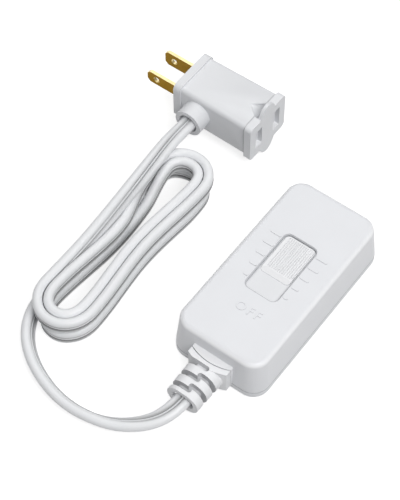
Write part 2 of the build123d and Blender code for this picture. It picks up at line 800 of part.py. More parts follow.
# Circuit board, with a hole over each post and for each leg and wire end.
with BuildPart() as circuit_board:
    with BuildSketch(Plane.XY.offset(board_z)):
        RectangleRounded(board_width, board_length, board_corner)
        with GridLocations(2 * board_screw_x, 2 * board_screw_y, 2, 2):
            Circle(board_screw_radius + 2 * fit_gap, mode=Mode.SUBTRACT)
        for place, half in ((resistor_place, resistor_length / 2 + wire_reach),
                            (diac_place, diac_length / 2 + wire_reach)):
            with Locations((place[0], place[1] - half), (place[0], place[1] + half)):
                Rectangle(2 * wire_radius + fit_gap, 2 * wire_radius + fit_gap, mode=Mode.SUBTRACT)
        for row in (-1, 0, 1):
            leg_end_y = triac_y - triac_length / 2 - leg_length - (row + 1) * leg_pitch / 2
            with Locations((leg_x + leg_thickness / 2, leg_end_y + leg_width / 2)):
                Rectangle(leg_thickness + fit_gap, leg_width + fit_gap, mode=Mode.SUBTRACT)
    extrude(amount=board_thickness)
circuit_board.part.label = "circuit_board"
export_step(circuit_board.part, "parts/circuit_board.step")

# Strain relief: a moulded plug held by the wall between its inner flange and the
# curved plate outside it, then the curved block and the oval boot, slotted from
# the left and the right in turn so that it can bend.
wall_y = -box_length / 2
plate_front = wall_y - plate_thickness
block_back = plate_front - plate_slit
block_front = block_back - block_thickness
boot_start = block_front - plate_bulge
mouth_y = boot_start - boot_length
plate_bottom = cord_z - plate_height / 2
left_slot_y = block_front - left_slot_start
right_slot_y = block_front - right_slot_start
flange_y = wall_y + wall + side_draft

with BuildPart() as strain_relief:
    # curved plate seated on the wall
    with BuildSketch(Plane.XY.offset(plate_bottom)):
        with BuildLine():
            ThreePointArc((-plate_width / 2, plate_front), (0, plate_front - plate_bulge),
                          (plate_width / 2, plate_front))
            Polyline((plate_width / 2, plate_front), (plate_width / 2, wall_y + side_draft),
                     (-plate_width / 2, wall_y + side_draft), (-plate_width / 2, plate_front))
        make_face()
    extrude(amount=plate_height)
    # outer block, a thin slit in front of the plate
    with BuildSketch(Plane.XY.offset(plate_bottom)):
        with BuildLine():
            ThreePointArc((-plate_width / 2, block_front), (0, block_front - plate_bulge),
                          (plate_width / 2, block_front))
            Line((plate_width / 2, block_front), (plate_width / 2, block_back))
            ThreePointArc((plate_width / 2, block_back), (0, block_back - plate_bulge),
                          (-plate_width / 2, block_back))
            Line((-plate_width / 2, block_back), (-plate_width / 2, block_front))
        make_face()
    extrude(amount=plate_height)
    add(box_outside.part, mode=Mode.SUBTRACT)
    # neck through the wall, from the block to the inner flange
    with BuildSketch(Plane.XZ.offset(-block_front)):
        with Locations((0, cord_z)):
            Rectangle(neck_width, neck_height)
    extrude(amount=block_front - flange_y)
    with BuildSketch(Plane.XZ.offset(-flange_y)):
        with Locations((0, cord_z)):
            RectangleRounded(neck_flange_width, neck_flange_height, neck_flange_thickness)
    extrude(amount=-neck_flange_thickness)
    # boot
    with BuildSketch(Plane.XZ.offset(-block_front)):
        with Locations((0, cord_z)):
            RectangleRounded(boot_width, boot_height, boot_share * boot_height)
    with BuildSketch(Plane.XZ.offset(-mouth_y)):
        with Locations((0, cord_z)):
            RectangleRounded(boot_end_width, boot_end_height, boot_share * boot_end_height)
    loft(ruled=True)
    # slots, cut down to the core round the cord
    for first, count, side, reach in ((left_slot_y, boot_slots, -1, left_slot_reach),
                                      (right_slot_y, boot_slots - 1, 1, right_slot_reach)):
        for row in range(count):
            with BuildSketch(Plane.XY.offset(cord_z - boot_height)):
                with Locations((side * (boot_width - reach) / 2, first - row * boot_slot_pitch)):
                    SlotOverall(reach + boot_slot_width, boot_slot_width)
            extrude(amount=2 * boot_height, mode=Mode.SUBTRACT)
    with BuildSketch(Plane.XZ.offset(-block_front)):
        with Locations((0, cord_z)):
            RectangleRounded(cord_width + 2 * boot_core, cord_thickness + 2 * boot_core, cord_thickness / 2)
    extrude(amount=block_front - mouth_y - mouth_depth)
    # the hollow mouth and the bore that the cord runs through
    mouth_height = boot_end_height - 2 * mouth_rim
    with BuildSketch(Plane.XZ.offset(-mouth_y)):
        with Locations((0, cord_z)):
            RectangleRounded(boot_end_width - 2 * mouth_rim, mouth_height, boot_share * mouth_height)
    extrude(amount=-mouth_depth, mode=Mode.SUBTRACT)
    with BuildSketch(Plane.XZ.offset(-mouth_y)):
        with Locations((0, cord_z)):
            Polygon(*corner_points(), align=None)
    extrude(amount=mouth_y - flange_y - 2 * neck_flange_thickness, mode=Mode.SUBTRACT)
strain_relief.part.label = "strain_relief"
export_step(strain_relief.part, "parts/strain_relief.step")

# Cord inside the strain relief, from the bottom of the mouth into the box.
cord_inside_y = flange_y + cord_inside
mouth_bottom_y = mouth_y + mouth_depth

with BuildPart() as cord_entry:
    with BuildSketch(Plane.XZ.offset(-mouth_bottom_y)):
        with Locations((0, cord_z)):
            Polygon(*corner_points(), align=None)
    extrude(amount=mouth_bottom_y - cord_inside_y)
cord_entry.part.label = "cord_entry"
export_step(cord_entry.part, "parts/cord_entry.step")

# The two cores of the cord, from its end to the brass terminals on the board.
terminal_width = 3.0
terminal_thickness = 0.8
terminal_height = 5.0
terminal_x = 6.0
core_radius = 0.9
core_run = 2.0

with BuildPart() as terminals:
    with BuildSketch(Plane.XY.offset(board_top)):
        with Locations((-terminal_x, terminal_y), (terminal_x, terminal_y)):
            Rectangle(terminal_width, terminal_thickness)
    extrude(amount=terminal_height)
    chamfer(terminals.faces().group_by(Axis.Z)[-1].edges().filter_by(Axis.Y), terminal_thickness / 2)
terminals.part.label = "terminals"
export_step(terminals.part, "parts/terminals.step")

with BuildPart() as cord_cores:
    for side in (-1, 1):
        with BuildLine() as core_route:
            FilletPolyline((side * lobe_offset, cord_inside_y, cord_z),
                           (side * lobe_offset, cord_inside_y + core_run, cord_z),
                           (side * terminal_x, terminal_y - terminal_thickness / 2 - core_run, cord_z + core_radius),
                           (side * terminal_x, terminal_y - terminal_thickness / 2, cord_z + core_radius),
                           radius=core_run)
        with BuildSketch(Plane.XZ.offset(-cord_inside_y)):
            with Locations((side * lobe_offset, cord_z)):
                RegularPolygon(core_radius, core_sides)
        sweep(path=core_route.line)
cord_cores.part.label = "cord_cores"
export_step(cord_cores.part, "parts/cord_cores.step")

# Plug with the lamp's outlet in its front. Places in it are measured from the
# outlet's face at plug_x, u backwards along -X.


def plug_plane(u):
    """Plane across the plug, its x towards the hot side, its y up, facing back."""
    return Plane(origin=(plug_x - u, plug_y, plug_z), x_dir=(0, -1, 0), z_dir=(-1, 0, 0))


with BuildPart() as plug_body:
    with BuildSketch(plug_plane(ear_thickness)):
        Rectangle(plug_front_width, plug_height)
    with BuildSketch(plug_plane(flange_start)):
        Rectangle(plug_back_width, plug_height)
    loft(ruled=True)
    long_edges = plug_body.edges().filter_by(lambda e: e.bounding_box().size.X > plug_height)
    fillet(long_edges, plug_round)
    with BuildSketch(plug_plane(flange_start)):
        RectangleRounded(flange_width, flange_height, flange_round)
    extrude(amount=flange_thickness)
    with BuildSketch(Plane(origin=(collar_x, plug_y, collar_z), x_dir=(1, 0, 0), z_dir=(0, -1, 0))):
        Circle(collar_radius)
    extrude(amount=collar_reach)
    # hollow for the inner pieces, open to the front
    with BuildSketch(plug_plane(ear_thickness)):
        Rectangle(cavity_width, cavity_height)
    extrude(amount=flange_start - ear_thickness, mode=Mode.SUBTRACT)
    with BuildSketch(plug_plane(flange_start)):
        with Locations((blade_spacing / 2, 0)):
            Rectangle(blade_thickness + 2 * fit_gap, hot_width + 2 * fit_gap)
        with Locations((-blade_spacing / 2, 0)):
            Rectangle(blade_thickness + 2 * fit_gap, neutral_width + 2 * fit_gap)
    extrude(amount=flange_thickness, mode=Mode.SUBTRACT)
    # hollow end of the collar
    with BuildSketch(Plane(origin=(collar_x, plug_y - collar_reach, collar_z), x_dir=(1, 0, 0), z_dir=(0, 1, 0))):
        Circle(collar_radius - collar_rim)
    extrude(amount=collar_depth, mode=Mode.SUBTRACT)
    # finger scoops behind the fin, above and below
    for side in (1, -1):
        with BuildSketch(plug_plane(ear_thickness)):
            with Locations((0, side * plug_height / 2)):
                Ellipse(scoop_half_width, scoop_depth)
        with BuildSketch(plug_plane(scoop_length)):
            with Locations((0, side * plug_height / 2)):
                Ellipse(scoop_point_share * scoop_half_width, scoop_point_share * scoop_depth)
        loft(ruled=True, mode=Mode.SUBTRACT)
plug_body.part.label = "plug_body"
export_step(plug_body.part, "parts/plug_body.step")

# Outlet insert: the ears, the fin and the block behind them with the contacts' channels.
with BuildPart() as outlet_insert:
    with BuildSketch(plug_plane(0)):
        RectangleRounded(ear_width, ear_height, ear_round)
    extrude(amount=ear_thickness)
    with BuildSketch(plug_plane(fin_thickness)):
        with Locations((0, ear_height / 2), (0, -ear_height / 2)):
            Ellipse(scoop_ear_half_width, scoop_ear_depth)
    extrude(amount=ear_thickness - fin_thickness, mode=Mode.SUBTRACT)
    with BuildSketch(plug_plane(0)):
        Ellipse(fin_half_width, fin_half_height)
    extrude(amount=fin_thickness)
    with BuildSketch(plug_plane(ear_thickness)):
        Rectangle(cavity_width - 2 * fit_gap, cavity_height - 2 * fit_gap)
    extrude(amount=spigot_length)
    with BuildSketch(plug_plane(0)):
        with Locations((blade_spacing / 2, 0)):
            Rectangle(pocket_width, hot_pocket_height)
        with Locations((-blade_spacing / 2, 0)):
            Rectangle(pocket_width, neutral_pocket_height)
    extrude(amount=pocket_depth, mode=Mode.SUBTRACT)
    with BuildSketch(plug_plane(0)):
        with Locations((blade_spacing / 2, 0)):
            Rectangle(slot_width, hot_width + 2 * slot_gap)
        with Locations((-blade_spacing / 2, 0)):
            Rectangle(slot_width, neutral_width + 2 * slot_gap)
    extrude(amount=channel_start, mode=Mode.SUBTRACT)
    with BuildSketch(plug_plane(channel_start)):
        with Locations((blade_spacing / 2, 0), (-blade_spacing / 2, 0)):
            Rectangle(contact_width + 2 * fit_gap, cavity_height - 2 * channel_wall)
    extrude(amount=ear_thickness + spigot_length - channel_start, mode=Mode.SUBTRACT)
outlet_insert.part.label = "outlet_insert"
export_step(outlet_insert.part, "parts/outlet_insert.step")

# Contacts: folded brass clips behind the slots, one for each blade of the lamp's plug.
contact_end = ear_thickness + spigot_length

with BuildPart() as contact_hot:
    with BuildSketch(plug_plane(channel_start)):
        with Locations((blade_spacing / 2, 0)):
            Rectangle(contact_width, contact_height)
            Rectangle(contact_width - 2 * contact_leaf, contact_height, mode=Mode.SUBTRACT)
    extrude(amount=contact_end - channel_start)
    with BuildSketch(plug_plane(contact_end - contact_leaf)):
        with Locations((blade_spacing / 2, 0)):
            Rectangle(contact_width, contact_height)
    extrude(amount=contact_leaf)
contact_hot.part.label = "contact_hot"
export_step(contact_hot.part, "parts/contact_hot.step")

with BuildPart() as contact_neutral:
    with BuildSketch(plug_plane(channel_start)):
        with Locations((-blade_spacing / 2, 0)):
            Rectangle(contact_width, contact_height)
            Rectangle(contact_width - 2 * contact_leaf, contact_height, mode=Mode.SUBTRACT)
    extrude(amount=contact_end - channel_start)
    with BuildSketch(plug_plane(contact_end - contact_leaf)):
        with Locations((-blade_spacing / 2, 0)):
            Rectangle(contact_width, contact_height)
    extrude(amount=contact_leaf)
contact_neutral.part.label = "contact_neutral"
export_step(contact_neutral.part, "parts/contact_neutral.step")

# Carrier that holds the blades behind the outlet block.
with BuildPart() as blade_carrier:
    with BuildSketch(plug_plane(contact_end)):
        Rectangle(cavity_width - 2 * fit_gap, cavity_height - 2 * fit_gap)
    extrude(amount=flange_start - contact_end)
    with BuildSketch(plug_plane(contact_end + blade_seat)):
        with Locations((blade_spacing / 2, 0)):
            Rectangle(blade_thickness + 2 * fit_gap, hot_width + 2 * fit_gap)
        with Locations((-blade_spacing / 2, 0)):
            Rectangle(blade_thickness + 2 * fit_gap, neutral_width + 2 * fit_gap)
    extrude(amount=flange_start - contact_end, mode=Mode.SUBTRACT)
blade_carrier.part.label = "blade_carrier"
export_step(blade_carrier.part, "parts/blade_carrier.step")

# Blades: the neutral one is wider, so the plug goes in one way only.
blade_start = contact_end + blade_seat
blade_end = flange_start + flange_thickness + blade_reach
hole_x = plug_x - (flange_start + flange_thickness + hole_reach)

with BuildPart() as blade_hot:
    with BuildSketch(Plane.XZ.offset(-(plug_y - blade_spacing / 2 - blade_thickness / 2))):
        with Locations((plug_x - (blade_start + blade_end) / 2, plug_z)):
            Rectangle(blade_end - blade_start, hot_width)
        with Locations((hole_x, plug_z)):
            Circle(hole_radius, mode=Mode.SUBTRACT)
    extrude(amount=-blade_thickness)
    chamfer(blade_hot.faces().sort_by(Axis.X)[0].edges().filter_by(Axis.Y), tip_chamfer)
blade_hot.part.label = "blade_hot"
export_step(blade_hot.part, "parts/blade_hot.step")

with BuildPart() as blade_neutral:
    with BuildSketch(Plane.XZ.offset(-(plug_y + blade_spacing / 2 - blade_thickness / 2))):
        with Locations((plug_x - (blade_start + blade_end) / 2, plug_z)):
            Rectangle(blade_end - blade_start, neutral_width)
        with Locations((hole_x, plug_z)):
            Circle(hole_radius, mode=Mode.SUBTRACT)
    extrude(amount=-blade_thickness)
    chamfer(blade_neutral.faces().sort_by(Axis.X)[0].edges().filter_by(Axis.Y), tip_chamfer)
blade_neutral.part.label = "blade_neutral"
export_step(blade_neutral.part, "parts/blade_neutral.step")

# Hank: one unbroken length of the cord, wound standing on edge in three windings,
# drawn in at its waist. A place in it is given by the side of the arm, the share of
# the way down it, the winding counted outwards and the layer counted upwards.
lower_layer_z = cord_width / 2
upper_layer_z = lower_layer_z + layer_pitch


def arm_place(side, down, winding, layer):
    """Point on an arm and the direction of travel, down the left arm and up the right."""
    reach = top_half_width + (low_half_width - top_half_width) * down
    draw = waist_draw * (1 - cos(2 * pi * down)) / 2
    slope = low_half_width - top_half_width - waist_draw * pi * sin(2 * pi * down)
    point = Vector(hank_x + side * (reach - draw + winding * winding_pitch),
                   hank_top_y + (hank_low_y - hank_top_y) * down,
                   lower_layer_z + layer * layer_pitch)
    heading = Vector(side * slope, hank_low_y - hank_top_y, 0) * -side
    return point, heading.normalized()


def bend_place(end, winding, layer):
    """Apex of a bend: end is 1 for the top one, travelled to -X, and -1 for the low one."""
    apex_y = hank_top_y + top_bend_depth if end == 1 else hank_low_y - low_bend_depth
    point = Vector(hank_x, apex_y + end * winding * winding_pitch, lower_layer_z + layer * layer_pitch)
    return point, Vector(-end, 0, 0)


LEFT, RIGHT = -1, 1
TOP, LOW = 1, -1
hank_places = (
    [arm_place(LEFT, 1, 1, 1), bend_place(LOW, 1, 1)]
    + [arm_place(RIGHT, down, 1, 1) for down in (1, 0.5, 0)] + [bend_place(TOP, 1, 1)]
    + [arm_place(LEFT, down, winding, 1) for down, winding in ((0, 1), (0.25, 1), (0.62, 0), (1, 0))]
    + [bend_place(LOW, 0, 1)]
    + [arm_place(RIGHT, down, 0, 1) for down in (1, 0.5, 0)] + [bend_place(TOP, 0, 1)]
    + [arm_place(LEFT, down, 0, layer) for down, layer in ((0, 1), (0.36, 0), (1, 0))]
    + [bend_place(LOW, 1, 0)]
    + [arm_place(RIGHT, down, 1, 0) for down in (1, 0.5, 0)] + [bend_place(TOP, 0, 0)]
    + [arm_place(LEFT, down, 1, 0) for down in (0, 0.36, 1)]
)


def biarc(start, end):
    """Two tangent arcs from one place to the next, as (from, to, heading) each."""
    (p0, t0), (p1, t1) = start, end
    chord = p1 - p0
    a = 2 * (t0.dot(t1) - 1)
    b = -2 * chord.dot(t0 + t1)
    c = chord.dot(chord)
    d = -c / b if abs(a) < straight_share else (-b - sqrt(b * b - 4 * a * c)) / (2 * a)
    joint = (p0 + t0 * d + p1 - t1 * d) * 0.5
    return (p0, joint, t0), (p1, joint, t1 * -1)


def bend_radius(start, end, heading):
    """Radius of the arc that leaves start along heading and ends at end."""
    chord = end - start
    across = chord.cross(heading).length
    return chord.dot(chord) / (2 * across) if across > straight_share else float("inf")


hank_arcs = [arc for pair in zip(hank_places, hank_places[1:]) for arc in biarc(*pair)]

with BuildPart() as cord_hank:
    with BuildLine() as hank_route:
        for start, end, heading in hank_arcs:
            if bend_radius(start, end, heading) < straight_radius:
                TangentArc(start, end, tangent=heading)
            else:
                Line(start, end)
    hank_wire = Wire(hank_route.edges())
    with BuildSketch(Plane(origin=hank_places[0][0], x_dir=(0, 0, 1), z_dir=hank_places[0][1])):
        Polygon(*corner_points(), align=None)
    sweep(path=hank_wire)
cord_hank.part.label = "cord_hank"
export_step(cord_hank.part, "parts/cord_hank.step")

# Least gap of the hank to itself, taken between points along it. The section stands
# on edge, so two lengths clear each other sideways by the cord's thickness.
hank_points = [(s * hank_step, hank_wire.position_at(s * hank_step, position_mode=PositionMode.LENGTH))
               for s in range(int(hank_wire.length / hank_step))]
gaps = []
for i, (s, p) in enumerate(hank_points):
    for t, q in hank_points[i + 1:]:
        if t - s > 2 * cord_width:
            over = max(0, abs(p.Z - q.Z) - 2 * lobe_offset)
            gap = sqrt((p.X - q.X) ** 2 + (p.Y - q.Y) ** 2 + over ** 2) - cord_thickness
            gaps.append((gap, s, t, tuple(p)))
print("hank length", round(hank_wire.length, 1), "least gap to itself, and where", min(gaps),
      "tightest radius", round(min(bend_radius(*arc) for arc in hank_arcs), 1))


def fillet_radii(points):
    """Radius of the arc at each corner of a route, from its shorter run and its turn."""
    radii = []
    for before, here, after in zip(points, points[1:], points[2:]):
        run_in, run_out = Vector(*here) - Vector(*before), Vector(*after) - Vector(*here)
        turn = acos(max(-1, min(1, run_in.normalized().dot(run_out.normalized()))))
        radii.append(run_share * min(run_in.length, run_out.length) / tan(turn / 2))
    return radii


def banked_plane(route, share, bank):
    """Plane across a route, its x along the cord's width, turned by bank from lying flat."""
    along = route % share
    level = Vector(0, 0, 1).cross(along).normalized()
    upright = along.cross(level)
    width_dir = level * cos(radians(bank)) + upright * sin(radians(bank))
    return Plane(origin=route @ share, x_dir=width_dir, z_dir=along)


def bank_at(share, table):
    """Bank in degrees at a share of the route, eased between the places of the table."""
    for (s0, b0), (s1, b1) in zip(table, table[1:]):
        if share <= s1:
            part = (share - s0) / (s1 - s0)
            return b0 + (b1 - b0) * (1 - cos(pi * part)) / 2
    return table[-1][1]


# Cord from the plug's collar, over the top of the hank, down to its lower left corner.
plug_lead_points = [
    (collar_x, plug_y - collar_reach + collar_depth, collar_z), (collar_x, 36.2, collar_z),
    (-75.3, 27.0, 17.7), (-73.9, 8.0, 17.6), (-72.8, -11.0, 17.4), (-74.4, -30.0, 15.3),
    tuple(hank_places[0][0] - hank_places[0][1] * lead_end_run), tuple(hank_places[0][0]),
]
plug_lead_bank_shares = ((0, 0), (0.5, 0), (0.92, 90), (1, 90))

with BuildPart() as cord_lead_plug:
    with BuildLine() as plug_lead_route:
        FilletPolyline(*plug_lead_points, radius=fillet_radii(plug_lead_points))
    plug_lead_wire = Wire(plug_lead_route.edges())
    for step in range(plug_lead_steps + 1):
        share = step / plug_lead_steps
        with BuildSketch(banked_plane(plug_lead_wire, share, bank_at(share, plug_lead_bank_shares))):
            Polygon(*corner_points(), align=None)
    loft(ruled=True)
cord_lead_plug.part.label = "cord_lead_plug"
export_step(cord_lead_plug.part, "parts/cord_lead_plug.step")
print("plug lead length", round(plug_lead_wire.length, 1), "radii",
      [round(r, 1) for r in fillet_radii(plug_lead_points)])

# Cord from the hank's end round in a free bow on the table and up into the boot.
box_lead_points = [
    tuple(hank_places[-1][0]), tuple(hank_places[-1][0] + hank_places[-1][1] * lead_end_run),
    (-68.8, -75.5, 3.5), (-56.0, -84.6, 3.35), (-38.0, -89.8, 3.35), (-19.6, -87.2, 3.4),
    (-6.4, -79.0, 5.6), (0, -69.6, cord_z), (0, mouth_bottom_y, cord_z),
]
box_lead_bank_shares = ((0, -90), (0.3, -50), (0.62, -45), (0.93, 0), (1, 0))

with BuildPart() as cord_lead_box:
    with BuildLine() as box_lead_route:
        FilletPolyline(*box_lead_points, radius=fillet_radii(box_lead_points))
    box_lead_wire = Wire(box_lead_route.edges())
    for step in range(box_lead_steps + 1):
        share = step / box_lead_steps
        with BuildSketch(banked_plane(box_lead_wire, share, bank_at(share, box_lead_bank_shares))):
            Polygon(*corner_points(), align=None)
    loft(ruled=True)
cord_lead_box.part.label = "cord_lead_box"
export_step(cord_lead_box.part, "parts/cord_lead_box.step")
print("box lead length", round(box_lead_wire.length, 1), "radii",
      [round(r, 1) for r in fillet_radii(box_lead_points)])
print("cord length", round(hank_wire.length + plug_lead_wire.length + box_lead_wire.length
                           + cord_inside_y - mouth_bottom_y, 1))
section_area = cord_entry.part.volume / (cord_inside_y - mouth_bottom_y)
for name, lead, wire in (("plug lead", cord_lead_plug, plug_lead_wire), ("box lead", cord_lead_box, box_lead_wire),
                         ("hank", cord_hank, hank_wire)):
    print(name, "volume", round(lead.part.volume, 1), "section times length",
          round(section_area * wire.length, 1), "lowest", round(lead.part.bounding_box().min.Z, 3))
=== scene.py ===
import math
import bmesh
import bpy
import numpy as np
from mathutils import Matrix, Vector


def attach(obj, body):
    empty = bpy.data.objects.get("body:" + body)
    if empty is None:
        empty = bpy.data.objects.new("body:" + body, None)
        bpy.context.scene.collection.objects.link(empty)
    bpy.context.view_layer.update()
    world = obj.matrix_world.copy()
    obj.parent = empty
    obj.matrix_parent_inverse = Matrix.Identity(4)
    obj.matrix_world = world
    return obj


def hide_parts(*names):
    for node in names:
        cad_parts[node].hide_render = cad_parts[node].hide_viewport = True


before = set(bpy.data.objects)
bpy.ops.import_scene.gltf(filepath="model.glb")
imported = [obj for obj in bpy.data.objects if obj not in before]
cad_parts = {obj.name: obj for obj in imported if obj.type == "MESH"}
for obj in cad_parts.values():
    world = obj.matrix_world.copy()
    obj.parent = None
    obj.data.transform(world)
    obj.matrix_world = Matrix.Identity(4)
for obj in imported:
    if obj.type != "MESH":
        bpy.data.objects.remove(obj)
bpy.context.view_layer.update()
bpy.ops.object.select_all(action="DESELECT")

# Box covers. Two halves of white ABS, screwed together from below: the deep top
# cover with the slider's window, and the shallow base, each a little rounded where
# they part. Moulded with a fine spark texture, with a painted highlight along the
# rounding of the top's edges, and painted shade on the window's walls, on the rounds
# where the covers part and on the walls of the raised marks.
merge_distance = 0.000001
slack, window_slack = 0.00001, 0.00005
flat_angle, sharp_angle, smooth_angle = math.radians(0.6), math.radians(50), math.radians(35)
upright_tilt, steep_tilt = 0.3, 0.9
parting_z, parting_round, parting_reach = 0.004, 0.00025, 0.0003
parting_low_tilt, parting_high_tilt = 0.2, 0.95
top_z, mark_rise = 0.022, 0.0002
window_half_width, window_half_length, window_y = 0.00755, 0.0151, 0.0017
window_bevel, window_plate = 0.00045, 0.0012
edge_highlight_heights = (0.0197, 0.0212, 0.02196)
cover_colour, cover_roughness = (0.78, 0.79, 0.815), 0.38
spark_grain, spark_depth = 2600, 0.00003


def noise(material, place, scale, detail):
    """A noise pattern over the coordinates that place gives."""
    pattern = material.node_tree.nodes.new("ShaderNodeTexNoise")
    pattern.inputs["Scale"].default_value = scale
    pattern.inputs["Detail"].default_value = detail
    material.node_tree.links.new(place, pattern.inputs["Vector"])
    return pattern.outputs["Fac"]


def toned(material, pattern, dark, pale, low, high):
    """Takes the colour from dark to pale as a pattern goes from low to high."""
    nodes, links = material.node_tree.nodes, material.node_tree.links
    tone = nodes.new("ShaderNodeValToRGB")
    for stop, position, colour in zip(tone.color_ramp.elements, (low, high), (dark, pale)):
        stop.position = position
        stop.color = colour + [1]
    links.new(pattern, tone.inputs["Fac"])
    links.new(tone.outputs["Color"], nodes["Principled BSDF"].inputs["Base Color"])


def glossed(material, pattern, low, high):
    """Takes the roughness from low to high with a pattern."""
    nodes, links = material.node_tree.nodes, material.node_tree.links
    gloss = nodes.new("ShaderNodeMapRange")
    gloss.inputs["To Min"].default_value = low
    gloss.inputs["To Max"].default_value = high
    links.new(pattern, gloss.inputs["Value"])
    links.new(gloss.outputs["Result"], nodes["Principled BSDF"].inputs["Roughness"])


def grained(material, pattern, strength, depth):
    """Roughens the surface by a pattern of a given depth."""
    nodes, links = material.node_tree.nodes, material.node_tree.links
    bump = nodes.new("ShaderNodeBump")
    bump.inputs["Strength"].default_value = strength
    bump.inputs["Distance"].default_value = depth
    links.new(pattern, bump.inputs["Height"])
    links.new(bump.outputs["Normal"], nodes["Principled BSDF"].inputs["Normal"])


def moulded(name, colour, roughness, grain, grain_depth, mottle=0.012):
    """Moulded plastic: a fine grain in the surface, and slow faint drifts of tone and gloss."""
    material = bpy.data.materials.new(name)
    material.use_nodes = True
    nodes = material.node_tree.nodes
    nodes["Principled BSDF"].inputs["IOR"].default_value = 1.5
    place = nodes.new("ShaderNodeTexCoord").outputs["Object"]
    drift = noise(material, place, scale=60, detail=3)
    dark = [c * (1 - mottle) for c in colour]
    pale = [min(1, c * (1 + mottle)) for c in colour]
    toned(material, drift, dark, pale, low=0.35, high=0.65)
    glossed(material, drift, low=roughness - 0.04, high=roughness + 0.04)
    spark = noise(material, place, scale=grain, detail=4)
    grained(material, spark, strength=0.35, depth=grain_depth)
    return material


def tinted(material, attribute, tint, blend="MULTIPLY"):
    """Gives a material another tone where a piece's attribute is 1."""
    nodes, links = material.node_tree.nodes, material.node_tree.links
    base = nodes["Principled BSDF"].inputs["Base Color"]
    plain = base.links[0].from_socket
    share = nodes.new("ShaderNodeAttribute")
    share.attribute_name = attribute
    other = nodes.new("ShaderNodeMix")
    other.data_type = "RGBA"
    other.blend_type = blend
    other.inputs["B"].default_value = tint
    links.new(share.outputs["Fac"], other.inputs["Factor"])
    links.new(plain, other.inputs["A"])
    links.new(other.outputs["Result"], base)


def outward(place, normal):
    """Whether a wall at a place faces away from the box's upright middle line."""
    return normal.x * place.x + normal.y * place.y > 0


def smoothed(node, body, material, edge=0, rim=None):
    """A copy of a CAD node, its corners merged and its curved faces shaded smooth.

    Its sharp edges are softened by edge, or only its outer ones at the height rim.
    """
    piece = bpy.data.objects.new(node + "_skin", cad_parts[node].data.copy())
    bpy.context.collection.objects.link(piece)
    edit = bmesh.new()
    edit.from_mesh(piece.data)
    bmesh.ops.remove_doubles(edit, verts=edit.verts, dist=merge_distance)
    bmesh.ops.dissolve_limit(edit, angle_limit=flat_angle, verts=edit.verts, edges=edit.edges)
    if rim is not None:
        weight = edit.edges.layers.float.new("bevel_weight_edge")
        for side in edit.edges:
            middle = (side.verts[0].co + side.verts[1].co) / 2
            level = all(abs(v.co.z - rim) < slack for v in side.verts)
            walls = [face.normal for face in side.link_faces if abs(face.normal.z) < upright_tilt]
            if level and any(outward(middle, normal) for normal in walls):
                side[weight] = 1
    edit.to_mesh(piece.data)
    edit.free()
    bpy.ops.object.select_all(action="DESELECT")
    piece.select_set(True)
    bpy.context.view_layer.objects.active = piece
    if edge:
        bpy.ops.object.modifier_add(type="BEVEL")
        bevel = piece.modifiers[-1]
        bevel.width = edge
        bevel.segments = 2
        bevel.use_clamp_overlap = rim is None
        bevel.limit_method = "ANGLE" if rim is None else "WEIGHT"
        bevel.angle_limit = sharp_angle
        bpy.ops.object.modifier_apply(modifier=bevel.name)
    bpy.ops.object.shade_smooth_by_angle(angle=smooth_angle)
    bpy.ops.object.modifier_add(type="WEIGHTED_NORMAL")
    piece.modifiers[-1].weight = 100
    piece.modifiers[-1].keep_sharp = True
    bpy.ops.object.modifier_apply(modifier=piece.modifiers[-1].name)
    piece.select_set(False)
    piece.data.materials.clear()
    piece.data.materials.append(material)
    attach(piece, body)
    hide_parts(node)
    return piece


def faced(piece, material, chosen):
    """Adds a material, on the faces that chosen picks by their middle and normal."""
    piece.data.materials.append(material)
    index = len(piece.data.materials) - 1
    for polygon in piece.data.polygons:
        if chosen(polygon.center, polygon.normal):
            polygon.material_index = index


def point_shares(mesh, attribute, shares):
    """Stores a share from 0 to 1 on each point of a mesh."""
    stored = mesh.attributes.new(attribute, "FLOAT", "POINT")
    stored.data.foreach_set("value", shares)


def window_or_parting(place, normal):
    """The top cover's window walls with their bevel, and its round where the covers part, which take
    painted shade.
    """
    across = abs(place.x) < window_half_width + window_bevel + window_slack
    along = abs(place.y - window_y) < window_half_length + window_bevel + window_slack
    in_window = across and along and top_z - window_plate < place.z < top_z - slack
    at_parting = parting_z + slack < place.z < parting_z + parting_reach
    downward = parting_low_tilt < -normal.z < parting_high_tilt
    return (in_window and normal.z < steep_tilt) or (at_parting and downward)


def mark_walls(place, normal):
    """The low upright walls of the raised marks beside the window, which take painted shade."""
    return normal.z < steep_tilt and top_z + slack < place.z < top_z + mark_rise - slack


def base_parting(place, normal):
    """The base's round where the covers part, which takes painted shade."""
    at_parting = parting_z - parting_reach < place.z < parting_z - slack
    upward = parting_low_tilt < normal.z < parting_high_tilt
    return outward(place, normal) and at_parting and upward


cover_plastic = moulded("cover_plastic", cover_colour, cover_roughness, spark_grain, spark_depth)
# Painted highlight: a paler copy of the cover's plastic along the rounding of the top's edges, strongest
# midway up the rounding.
edge_highlight_plastic = moulded("edge_highlight_plastic", cover_colour, cover_roughness, spark_grain, spark_depth)
tinted(edge_highlight_plastic, "painted_edge_highlight", (0.97, 0.975, 0.99, 1), "MIX")
# Painted shade: a darker copy of the cover's plastic on the window's walls and bevel, and on the rounds
# where the two covers part.
painted_rim_shade = moulded("painted_rim_shade", (0.53, 0.54, 0.56), 0.5, spark_grain, spark_depth)
